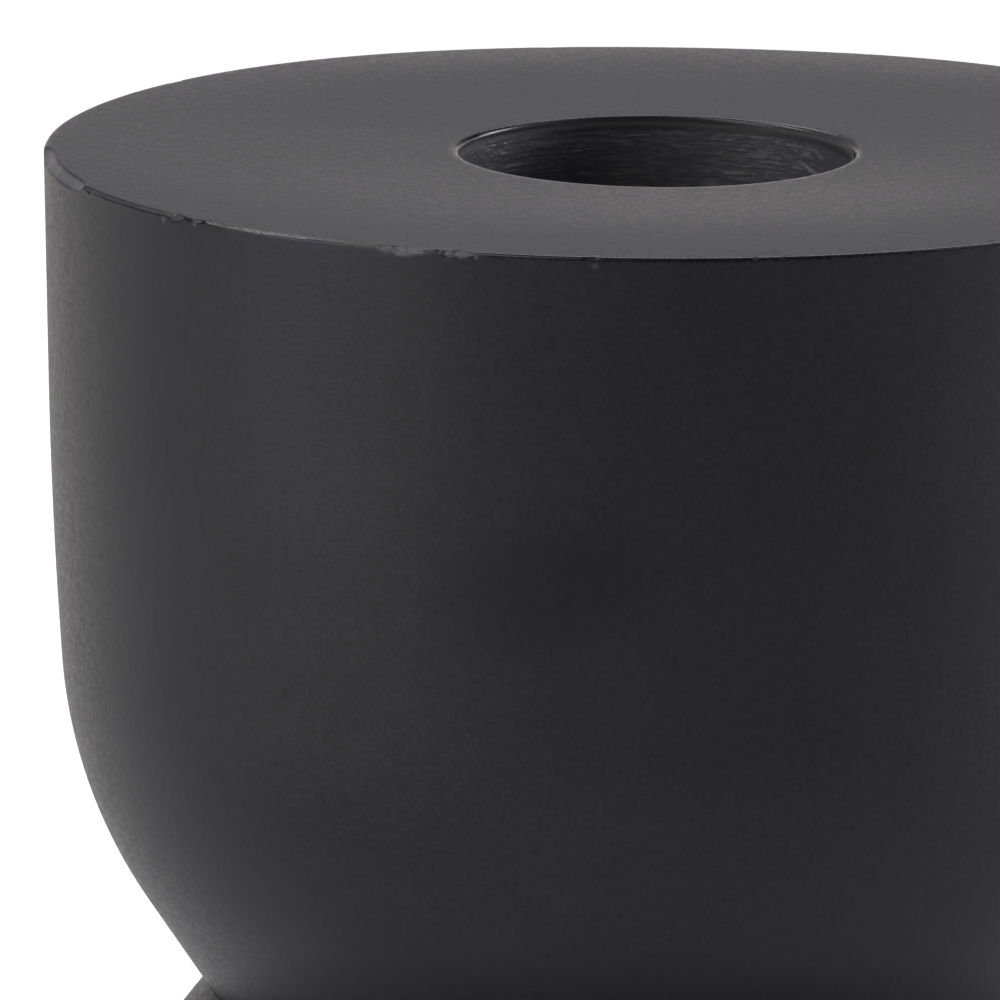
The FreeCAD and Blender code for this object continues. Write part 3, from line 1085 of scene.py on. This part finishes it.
@dataclass(frozen=True)
class CandleCup(Block):
    """The top block, whose flat face holds the candle socket.

    The face is crowned, and it rises and dips at some bearings. The rises grow outwards over rise_reach, the
    dips fade outwards over dip_reach, and warp_depth is how far down they are felt. face_drop is how far the
    face's plane lies under the construction solid's top, which its highest spot just reaches. The socket's
    mouth is eased by mouth_least and mouth_ease times its rounding and drawn in by mouth_tight. Round
    mouth_painted_highlight its rounding is made paler, which is a painted highlight, and bore_painted_light
    makes the socket's wall under it paler, which is painted light; both go through the wear attribute.
    """

    socket_radius: float = 11.4 * MM
    mouth_rounding: float = 0.2 * MM
    mouth_band: float = 1.5 * MM
    recess_radius: float = 6.5 * MM
    waist_steps: int = 16
    fine_turns: int = 2048
    mouth_turns: int = 1024
    face_drop: float = 0.5 * MM
    crown: float = 0.55 * MM
    crown_fall: float = 1.08
    warp_depth: float = 10 * MM
    rises: tuple[Swell, ...] = (Swell(-140.0, 0.24 * MM, 30.0), Swell(147.0, 0.15 * MM, 19.0))
    rise_reach: tuple[float, float] = (13 * MM, 28 * MM)
    dips: tuple[Swell, ...] = (Swell(25.0, 0.12 * MM, 60.0), Swell(-50.0, 0.03 * MM, 40.0))
    dip_reach: tuple[float, float] = (11 * MM, 26 * MM)
    mouth_least: float = 0.8
    mouth_ease: tuple[Swell, ...] = (Swell(0.0, 0.4, 60.0), Swell(118.0, 2.2, 28.0), Swell(-90.0, 0.8, 40.0))
    mouth_tight: Swell = Swell(-90.0, 0.12 * MM, 55.0)
    # A painted highlight: the mouth's rounding is paler round this bearing, through the wear attribute.
    mouth_painted_highlight: Swell = Swell(112.0, 0.45, 20.0)
    # Painted light: the socket's wall under the mouth is paler, to lift its shade.
    bore_painted_light: float = 0.2
    bevels: tuple[Bevel, ...] = (
        Bevel(-79.0, 6.5 * MM, 0.58 * MM, 0.9),
        Bevel(-59.5, 7.0 * MM, 0.21 * MM, 0.7),
        Bevel(-40.0, 4.2 * MM, 0.20 * MM, 0.1),
        Bevel(-31.0, 4.2 * MM, 0.15 * MM, 0.2),
        Bevel(120.0, 9.0 * MM, 0.16 * MM, 0.2),
    )
    front_chips: tuple[Chip, ...] = (
        Chip(-78.0, 0.6 * MM, 0.20 * MM, 0.26 * MM),
        Chip(-66.4, 0.5 * MM, 0.24 * MM, 0.34 * MM),
        Chip(-60.5, 0.7 * MM, 0.14 * MM, 0.20 * MM),
        Chip(-55.8, 0.40 * MM, 0.20 * MM, 0.30 * MM),
        Chip(-50.7, 0.80 * MM, 0.26 * MM, 0.42 * MM),
        Chip(-47.4, 0.42 * MM, 0.32 * MM, 0.28 * MM),
        Chip(-24.0, 1.75 * MM, 0.40 * MM, 0.52 * MM, 0.85),
        Chip(-20.2, 0.35 * MM, 0.22 * MM, 0.24 * MM),
        Chip(-18.4, 1.25 * MM, 0.28 * MM, 0.40 * MM),
        Chip(-5.8, 0.45 * MM, 0.30 * MM, 0.20 * MM, 0.1),
        Chip(9.2, 0.16 * MM, 0.18 * MM, 0.24 * MM),
        Chip(11.9, 0.18 * MM, 0.16 * MM, 0.26 * MM),
        Chip(13.4, 0.15 * MM, 0.16 * MM, 0.22 * MM),
        Chip(22.1, 0.18 * MM, 0.14 * MM, 0.22 * MM),
    )
    dents: tuple[Dent, ...] = (
        Dent(-52.6, 0.45 * MM, 0.16 * MM, 0.05 * MM),
        Dent(-47.9, 0.30 * MM, 0.12 * MM, 0.08 * MM),
        Dent(-16.8, 0.25 * MM, 0.10 * MM, 0.06 * MM),
        Dent(-5.6, 0.55 * MM, 0.14 * MM, 0.05 * MM),
    )

    def build(self, finish: BlackLacquer) -> bpy.types.Object:
        """Build the block.

        Args:
            finish: Its lacquer.

        Returns:
            The block.
        """
        low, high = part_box("candle_cup")
        face, waist, radius = high.z - self.face_drop, low.z, self.wall.body_radius
        socket_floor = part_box("socket_liner")[0].z
        recess_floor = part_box("head_washer")[0].z
        ceiling = waist + self.spigot_socket_depth
        rounding = self.mouth_rounding
        inside = [
            Corner(self.socket_radius + self.mouth_band, face, run_steps=3),
            Corner(self.socket_radius, face, rounding, arc_steps=7, run_steps=8),
            Corner(self.socket_radius, socket_floor),
            Corner(self.recess_radius, socket_floor),
            Corner(self.recess_radius, recess_floor),
            Corner(self.bolt_hole_radius, recess_floor),
            Corner(self.bolt_hole_radius, ceiling),
            Corner(self.spigot_socket_radius, ceiling),
            Corner(self.spigot_socket_radius, waist),
        ]
        wall = turned_round(self.wall.corners(face, waist), self.waist_steps)
        chips = scattered_chips(seed=11, count=16, largest=0.8 * MM, first=40.0, last=270.0)
        worn = EdgeWear(radius, face, 1.0, self.front_chips + chips, self.dents, self.bevels)

        def turns(ring_radius: float, height: float) -> int:
            """Many points near the arris and the mouth, where the bruises are.

            Args:
                ring_radius: The ring's radius.
                height: Its height.

            Returns:
                The points round the ring.
            """
            if face - height < self.fine_band and radius - ring_radius < self.fine_band:
                return self.fine_turns
            if face - height < rounding and ring_radius - self.socket_radius < rounding:
                return self.mouth_turns
            return self.ring_turns(ring_radius)

        def shape(bearing: float, ring_radius: float, height: float) -> Spot:
            """Wear the arris, ease the socket's mouth and let the face warp as the wood has moved.

            Args:
                bearing: The point's bearing, in radians.
                ring_radius: Its distance from the axis.
                height: Its height.

            Returns:
                Where the point goes.
            """
            out, drop = ring_radius - self.socket_radius, face - height
            if 0 <= out <= rounding + TOUCH and drop <= rounding + TOUCH:
                return self._mouth(bearing, out, drop, face)
            spot = worn.shape(bearing, ring_radius, height)
            if out < 0 or drop > self.warp_depth:
                return spot
            # Painted light: the socket's wall is paler, through the wear attribute.
            if out < TOUCH and drop > rounding:
                return spot._replace(wear=self.bore_painted_light)
            warp = self._warp(bearing, ring_radius) * (1 - drop / self.warp_depth)
            return spot._replace(height=spot.height + warp)

        piece = turned_mesh("cup_block", trace(wall + inside, closed=True), turns, True, shape)
        return seat(piece, finish, "black_lacquered_wood", "candle_cup")

    def _mouth(self, bearing: float, out: float, drop: float, face: float) -> Spot:
        """Ease a point of the socket's mouth.

        Args:
            bearing: The point's bearing, in radians.
            out: How far it lies outside the socket's wall.
            drop: How far it lies below the face.
            face: The face's height.

        Returns:
            Where the point goes.
        """
        ease = self.mouth_least + swell_sum(self.mouth_ease, bearing)
        dip = swell_sum(self.dips, bearing)
        # bare here is painted light, not worn coat: the paler wall and lower rounding lift their shade.
        bare = self.bore_painted_light * eased(drop, 0.3 * self.mouth_rounding, self.mouth_rounding)
        # The paler spot on the rounding round one bearing is a painted highlight.
        bare += self.mouth_painted_highlight.at(bearing) * eased(drop, 0.0, 0.2 * self.mouth_rounding)
        radius = self.socket_radius + out * ease - self.mouth_tight.at(bearing)
        return Spot(radius, face - drop * ease - dip, bare, 1.0 - bare)

    def _warp(self, bearing: float, radius: float) -> float:
        """How far the flat face stands off its plane.

        Args:
            bearing: The bearing, in radians.
            radius: The distance from the axis.

        Returns:
            The rise, which is at most face_drop.
        """
        rise = swell_sum(self.rises, bearing) * eased(radius, *self.rise_reach)
        dip = swell_sum(self.dips, bearing) * (1 - eased(radius, *self.dip_reach))
        share = max(0.0, (radius - self.socket_radius) / (self.wall.body_radius - self.socket_radius))
        return min(self.face_drop, rise - dip + self.crown * (share - self.crown_fall * share**4))


@dataclass(frozen=True)
class SocketLiner:
    """The thin turned steel cup in the candle socket, with grooves and one scratch in its wall.

    scratch holds the bearing in degrees and the depth under the lip of each of its ends. groove_from is the
    depth at which the grooves start, and groove_reach how far in they go where the wall curves into the
    floor. groove_pitch and groove_wander set their height and their length. Finer grooves lie among them,
    fine_scale times as close and fine_share as deep.
    """

    wall_thickness: float = 0.25 * MM
    lip_slope: float = 0.3 * MM
    lip_rounding: float = 0.4 * MM
    corner_rounding: float = 0.9 * MM
    seen_depth: float = 6 * MM
    turns: int = 384
    groove_from: float = 0.55 * MM
    groove_reach: float = 0.5 * MM
    groove_depth: float = 0.02 * MM
    groove_pitch: float = 0.35 * MM
    groove_wander: float = 2.2
    fine_scale: float = 2.3
    fine_share: float = 0.5
    scratch: tuple[tuple[float, float], tuple[float, float]] = ((133.0, 1.6 * MM), (122.0, 2.3 * MM))
    scratch_width: float = 0.1 * MM

    def build(self, finish: BlackenedSteel) -> bpy.types.Object:
        """Build the liner.

        Args:
            finish: Its black coat.

        Returns:
            The liner.
        """
        low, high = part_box("socket_liner")
        outer, lip = high.x, high.z
        inner, floor = outer - self.wall_thickness, low.z + self.wall_thickness
        corners = [
            Corner(0.0, low.z),
            Corner(outer, low.z, self.corner_rounding + self.wall_thickness, arc_steps=5, run_steps=6),
            Corner(outer, lip),
            Corner(inner, lip - self.lip_slope, self.lip_rounding, arc_steps=8, run_steps=90),
            Corner(inner, lip - self.seen_depth, run_steps=30),
            Corner(inner, floor, self.corner_rounding, arc_steps=5, run_steps=3),
            Corner(0.0, floor),
        ]

        def score(bearing: float, radius: float, height: float) -> Spot:
            """Cut the tool's grooves into the inner wall.

            Args:
                bearing: The point's bearing, in radians.
                radius: Its distance from the axis.
                height: Its height.

            Returns:
                Where the point goes.
            """
            depth = lip - height
            if depth < self.groove_from or not inner - self.groove_reach <= radius <= inner + TOUCH:
                return Spot(radius, height)
            around = Vector((math.sin(bearing), math.cos(bearing), 0.0)) * self.groove_wander
            place = around + Vector((0.0, 0.0, depth / self.groove_pitch))
            fine = max(0.0, noise.noise(place * self.fine_scale))
            groove = max(0.0, noise.noise(place)) + self.fine_share * fine
            scratch = self._scratch(bearing, depth)
            return Spot(radius + self.groove_depth * (groove + scratch), height, scratch)

        piece = turned_mesh("socket_sleeve", trace(corners, False), lambda *ring: self.turns, False, score)
        return seat(piece, finish, "blackened_steel", "socket_liner")

    def _scratch(self, bearing: float, depth: float) -> float:
        """How much of the slanting scratch lies at a point of the wall.

        Args:
            bearing: The point's bearing, in radians.
            depth: Its depth under the lip.

        Returns:
            A share from 0 to 1.
        """
        (first_turn, first_depth), (last_turn, last_depth) = self.scratch
        share = (math.degrees(bearing) % 360.0 - first_turn) / (last_turn - first_turn)
        if not 0 < share < 1:
            return 0.0
        away = depth - first_depth - share * (last_depth - first_depth)
        return math.exp(-((away / self.scratch_width) ** 2)) * math.sin(math.pi * share) ** 0.5


@dataclass(frozen=True)
class BallBlock(Block):
    """The middle block: a ball with a flat and a spigot at each waist."""

    seam_steps: int = 3
    spigot_radius: float = 12.0 * MM
    spigot_height: float = 6.0 * MM
    spigot_chamfer: float = 0.8 * MM
    arc_steps: int = 56

    def build(self, finish: BlackLacquer) -> bpy.types.Object:
        """Build the ball.

        Args:
            finish: Its lacquer.

        Returns:
            The ball.
        """
        low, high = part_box("ball")
        lower_waist, upper_waist = low.z + self.spigot_height, high.z - self.spigot_height
        outline = self._spigot(lower_waist, -1.0)
        outline += self._side((lower_waist + upper_waist) / 2, (upper_waist - lower_waist) / 2)
        outline += reversed(self._spigot(upper_waist, 1.0))
        piece = turned_mesh("ball_block", outline, lambda radius, height: self.ring_turns(radius), True)
        return seat(piece, finish, "black_lacquered_wood", "ball")

    def _spigot(self, waist: float, out: float) -> list[tuple[float, float]]:
        """One spigot's outline.

        Args:
            waist: The height of its waist.
            out: +1 where it points up and -1 where it points down.

        Returns:
            The points from the bolt hole to the waist face.
        """
        end = waist + out * self.spigot_height
        return [
            (self.bolt_hole_radius, end),
            (self.spigot_radius - self.spigot_chamfer, end),
            (self.spigot_radius, end - out * self.spigot_chamfer),
            (self.spigot_radius, waist),
        ]

    def _side(self, middle: float, half: float) -> list[tuple[float, float]]:
        """The ball's outline between its waists, with both seams eased.

        Args:
            middle: The height of the ball's centre.
            half: Half the height between its waists.

        Returns:
            The points from the lower waist to the upper one.
        """
        ball_radius = math.hypot(self.wall.waist_radius, half)
        # The seam's arc touches the flat waist face and the ball from the inside.
        seam = self.wall.seam_rounding
        seam_radius = math.sqrt((ball_radius - seam) ** 2 - (half - seam) ** 2)
        tilt = math.atan2(half - seam, seam_radius)
        points: list[tuple[float, float]] = []
        for step in range(self.seam_steps + 1):
            angle = -math.pi / 2 + (math.pi / 2 - tilt) * step / self.seam_steps
            height = middle - half + seam + seam * math.sin(angle)
            points.append((seam_radius + seam * math.cos(angle), height))
        mirrored = [(radius, 2 * middle - height) for radius, height in reversed(points)]
        for step in range(1, self.arc_steps):
            angle = -tilt + 2 * tilt * step / self.arc_steps
            points.append((ball_radius * math.cos(angle), middle + ball_radius * math.sin(angle)))
        return points + mirrored


@dataclass(frozen=True)
class BaseBlock(Block):
    """The bottom block: the cup's outline upside down, hollowed for the weight."""

    recess_radius: float = 23.0 * MM
    fine_turns: int = 1536

    def build(self, finish: BlackLacquer) -> bpy.types.Object:
        """Build the base.

        Args:
            finish: Its lacquer.

        Returns:
            The base.
        """
        low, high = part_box("base")
        foot, waist, radius = low.z, high.z, self.wall.body_radius
        recess_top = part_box("base_weight")[1].z
        socket_floor = waist - self.spigot_socket_depth
        corners = [
            Corner(self.recess_radius, foot, run_steps=4),
            *self.wall.corners(foot, waist),
            Corner(self.spigot_socket_radius, waist),
            Corner(self.spigot_socket_radius, socket_floor),
            Corner(self.bolt_hole_radius, socket_floor),
            Corner(self.bolt_hole_radius, recess_top),
            Corner(self.recess_radius, recess_top),
        ]
        chips = scattered_chips(seed=29, count=30, largest=1.1 * MM, first=-180.0, last=180.0)
        worn = EdgeWear(radius, foot, -1.0, chips)

        def turns(ring_radius: float, height: float) -> int:
            """Many points near the arris, where the bruises are.

            Args:
                ring_radius: The ring's radius.
                height: Its height.

            Returns:
                The points round the ring.
            """
            if height - foot < self.fine_band and radius - ring_radius < self.fine_band:
                return self.fine_turns
            return self.ring_turns(ring_radius)

        piece = turned_mesh("base_block", trace(corners, closed=True), turns, True, worn.shape)
        return seat(piece, finish, "black_lacquered_wood", "base")


@dataclass(frozen=True)
class FeltFoot:
    """The felt disc under the foot, cut by hand from a sheet.

    fuzz is how ragged its edge is within edge_width, fuzz_turns how close the tufts stand, and fuzz_layers
    how much they change from the underside to the top.
    """

    edge_rounding: float = 0.3 * MM
    edge_width: float = 0.6 * MM
    fuzz: float = 0.05 * MM
    fuzz_turns: float = 60
    fuzz_layers: float = 0.1
    turns: int = 512

    def build(self, finish: BlackFelt) -> bpy.types.Object:
        """Build the felt.

        Args:
            finish: Its wool.

        Returns:
            The felt.
        """
        low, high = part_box("felt_pad")
        radius, thickness = high.x, high.z - low.z
        corners = [
            Corner(0.0, low.z, run_steps=12),
            Corner(radius, low.z, self.edge_rounding, arc_steps=4, run_steps=3),
            Corner(radius, high.z, self.edge_rounding, arc_steps=4, run_steps=12),
            Corner(0.0, high.z),
        ]

        def ragged(bearing: float, ring_radius: float, height: float) -> Spot:
            """Roughen the cut edge, inwards only.

            Args:
                bearing: The point's bearing, in radians.
                ring_radius: Its distance from the axis.
                height: Its height.

            Returns:
                Where the point goes.
            """
            edge = max(0.0, 1 - (radius - ring_radius) / self.edge_width)
            layer = height / thickness * self.fuzz_layers
            spot = Vector((math.sin(bearing), math.cos(bearing), layer)) * self.fuzz_turns
            return Spot(ring_radius - self.fuzz * edge * (1 + noise.noise(spot)), height)

        piece = turned_mesh("felt_disc", trace(corners, False), lambda *ring: self.turns, False, ragged)
        seat(piece, finish, "black_felt", "felt_pad")
        return piece


@dataclass(frozen=True)
class Hardware:
    """The bolt, washers, nut and weight, which keep their construction meshes."""

    plated: tuple[str, ...] = ("tie_bolt", "head_washer", "nut_washer", "lock_washer", "nut")
    cast: tuple[str, ...] = ("base_weight",)

    def dress(self, plate: ZincPlate, iron: CastIron) -> None:
        """Give the hardware its finishes.

        Args:
            plate: The finish of the bolt, washers and nut.
            iron: The finish of the weight.
        """
        for nodes, material in ((self.plated, plate.material()), (self.cast, iron.material())):
            for node in nodes:
                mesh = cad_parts[node].data
                mesh.materials.clear()
                mesh.materials.append(material)
                LOG.info("%s: %s", node, material.name)


# Studio


@dataclass(frozen=True)
class Softbox:
    """A rectangular studio light, aimed at a point on the axis.

    bearing is in degrees, elevation in degrees above the floor, and size is its width and height in metres.
    """

    name: str
    bearing: float
    elevation: float
    size: tuple[float, float]
    watts: float
    colour: tuple[float, float, float]
    distance: float = 1.4

    def build(self, aim: Vector) -> None:
        """Hang the light.

        Args:
            aim: The point that it faces.
        """
        turn, rise = math.radians(self.bearing), math.radians(self.elevation)
        out = Vector((math.sin(turn) * math.cos(rise), -math.cos(turn) * math.cos(rise), math.sin(rise)))
        data = bpy.data.lights.new(self.name, "AREA")
        data.shape = "RECTANGLE"
        data.size, data.size_y = self.size
        data.energy = self.watts
        data.color = self.colour
        lamp = bpy.data.objects.new(self.name, data)
        lamp.location = aim + out * self.distance
        lamp.rotation_mode = "QUATERNION"
        lamp.rotation_quaternion = (-out).to_track_quat("-Z", "Y")
        lamp.visible_camera = False
        bpy.context.scene.collection.objects.link(lamp)


@dataclass(frozen=True)
class Studio:
    """A pale floor, a surround that is white to the camera, and soft lights.

    floor_lift is the floor's own light for the camera, and mirrored_share how much of it the part mirrors
    from behind. back and right are how much light comes from the horizon on those sides, each with its fade,
    the height of direction at which it ends.
    """

    floor_half_width: float = 6.0
    floor_gap: float = 0.02 * MM
    floor_near: float = 0.1 * MM
    floor_colour: Colour = (0.8, 0.8, 0.8, 1.0)
    floor_roughness: float = 0.9
    floor_lift: float = 0.5
    mirrored_share: float = 0.46
    mirrored_tint: Colour = (1.12, 1.0, 0.86, 1.0)
    back: float = 1.28
    back_fade: float = 0.3
    right: float = 2.98
    right_fade: float = 0.15
    surround_tint: Colour = (1.055, 1.0, 1.01, 1.0)
    softboxes: tuple[Softbox, ...] = (
        Softbox("left_softbox", -72.0, 10.0, (0.6, 0.8), 5.2, (0.85, 0.8, 1.0)),
        Softbox("left_front_softbox", -50.0, 10.0, (0.5, 0.8), 3.51, (0.917, 0.893, 1.0)),
        Softbox("high_left_softbox", -108.0, 53.0, (0.42, 0.42), 3.67, (0.984, 1.0, 0.969)),
        Softbox("high_front_softbox", -50.0, 50.0, (0.8, 0.6), 5.68, (0.982, 1.0, 0.954)),
        Softbox("high_right_softbox", 90.0, 50.0, (0.8, 0.6), 2.12, (0.86, 0.806, 1.0)),
        Softbox("right_rear_softbox", 110.0, 10.0, (0.6, 0.8), 15.55, (0.964, 0.97, 1.0)),
        Softbox("back_softbox", 180.0, 45.0, (0.8, 0.6), 4.99, (0.97, 0.962, 1.0)),
    )

    def build(self) -> None:
        """Build the floor, the surround and the lights."""
        bpy.context.scene.view_settings.view_transform = "Standard"
        self._floor()
        self._surround()
        aim = Vector((0.0, 0.0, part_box("ball")[1].z))
        for softbox in self.softboxes:
            softbox.build(aim)

    def _floor(self) -> None:
        """A pale floor that shows the object's shadow, and is clear from below."""
        half, low = self.floor_half_width, -self.floor_gap
        mesh = bpy.data.meshes.new("floor")
        places = [(x * half, y * half, low) for x, y in ((-1, -1), (1, -1), (1, 1), (-1, 1))]
        mesh.from_pydata(places, [], [(0, 1, 2, 3)])
        floor = bpy.data.objects.new("floor", mesh)
        bpy.context.scene.collection.objects.link(floor)
        material, graph, shader = new_material("pale_floor")
        shader["Base Color"].default_value = self.floor_colour
        shader["Roughness"].default_value = self.floor_roughness
        shader["Specular IOR Level"].default_value = 0.0
        path = graph.node("ShaderNodeLightPath").outputs
        from_below = graph.node("ShaderNodeNewGeometry").outputs["Backfacing"]
        # Light that starts nearer than floor_near passes the floor, so the felt isn't black from below.
        apart = graph.math("GREATER_THAN", path["Ray Length"], self.floor_near)
        graph.feed(shader["Alpha"], graph.math("MULTIPLY", graph.math("SUBTRACT", 1.0, from_below), apart))
        behind = graph.span(graph.axes(graph.place())[1], 0.0, 0.5)
        mirrored = graph.math("MULTIPLY", path["Is Glossy Ray"], behind)
        mirrored = graph.math("MULTIPLY", mirrored, self.mirrored_share)
        seen = graph.math("MAXIMUM", path["Is Camera Ray"], mirrored)
        graph.feed(shader["Emission Color"], graph.blend(path["Is Camera Ray"], self.mirrored_tint, WHITE))
        graph.feed(shader["Emission Strength"], graph.math("MULTIPLY", seen, self.floor_lift))
        mesh.materials.append(material)

    def _surround(self) -> None:
        """White to the eye, and for what it lights a glow along the horizon at the back and on the right."""
        world = bpy.data.worlds.new("studio")
        bpy.context.scene.world = world
        world.use_nodes = True
        graph = Graph(world.node_tree)
        axes = graph.axes(graph.node("ShaderNodeTexCoord").outputs["Generated"])
        level: object = 0.0
        for axis, share, fade in ((1, self.back, self.back_fade), (0, self.right, self.right_fade)):
            side = graph.math("MAXIMUM", axes[axis], 0.0)
            lit = graph.math("MULTIPLY", graph.math("MULTIPLY", side, side), share)
            low = graph.math("SUBTRACT", 1.0, graph.span(axes[2], 0.0, fade))
            level = graph.math("MULTIPLY_ADD", lit, low, level)
        seen = graph.node("ShaderNodeLightPath").outputs["Is Camera Ray"]
        hidden = graph.math("MULTIPLY", level, graph.math("SUBTRACT", 1.0, seen))
        strength = graph.math("ADD", hidden, seen)
        tint = graph.blend(seen, self.surround_tint, WHITE)
        background = graph.node("ShaderNodeBackground", Color=tint, Strength=strength)
        graph.node("ShaderNodeOutputWorld", Surface=background.outputs[0])


@dataclass(frozen=True)
class Viewpoint:
    """A long lens close to level, aimed at the top of the holder, left of its axis."""

    pivot_height: float = 142.6 * MM
    distance: float = 1.575
    elevation_deg: float = 9.92
    roll_deg: float = 0.413
    aim_left: float = 8.92 * MM
    aim_down: float = 20.01 * MM
    lens: float = 991.9
    sensor: float = 36.0
    clip: tuple[float, float] = (0.1, 50.0)

    def build(self) -> None:
        """Place the camera."""
        top = Vector((0.0, 0.0, self.pivot_height))
        rise, roll = math.radians(self.elevation_deg), math.radians(self.roll_deg)
        stand = top + Vector((0.0, -math.cos(rise), math.sin(rise))) * self.distance
        ahead = (top - stand).normalized()
        level = Vector((1.0, 0.0, 0.0))
        upright = level.cross(ahead)
        right = level * math.cos(roll) + upright * math.sin(roll)
        up = upright * math.cos(roll) - level * math.sin(roll)
        sight = (top - right * self.aim_left - up * self.aim_down - stand).normalized()
        right = (right - sight * right.dot(sight)).normalized()
        up = right.cross(sight)
        data = bpy.data.cameras.new("camera")
        data.lens = self.lens
        data.sensor_width = self.sensor
        data.clip_start, data.clip_end = self.clip
        camera = bpy.data.objects.new("camera", data)
        camera.matrix_world = Matrix.Translation(stand) @ Matrix((right, up, -sight)).transposed().to_4x4()
        bpy.context.scene.collection.objects.link(camera)
        bpy.context.scene.camera = camera


def main() -> None:
    """Build the candle holder and the studio round it."""
    logging.basicConfig(level=logging.INFO, format="%(name)s: %(message)s")
    fans = (Fan(-128.0, 26.0, 0.015), Fan(115.0, 34.0, 0.03), Fan(30.0, 60.0, -0.02))
    cup_marks = (HandMark(-10.6, 123.5 * MM, 15.0 * MM, 9.4 * MM, 16.0, 0.62),)
    ball_marks = (HandMark(140.0, 72.0 * MM, 12.0 * MM, 8.0 * MM, 30.0, 0.5),)
    base_marks = (HandMark(-115.0, 22.0 * MM, 11.0 * MM, 7.0 * MM, -20.0, 0.5),)
    CandleCup().build(BlackLacquer("lacquer_cup", marks=cup_marks, fans=fans))
    SocketLiner().build(BlackenedSteel())
    BallBlock().build(BlackLacquer("lacquer_ball", marks=ball_marks, body_radius=33.0 * MM))
    BaseBlock().build(BlackLacquer("lacquer_base", marks=base_marks))
    FeltFoot().build(BlackFelt())
    Hardware().dress(ZincPlate(), CastIron())
    Studio().build()
    Viewpoint().build()


if __name__ == "__main__":
    main()
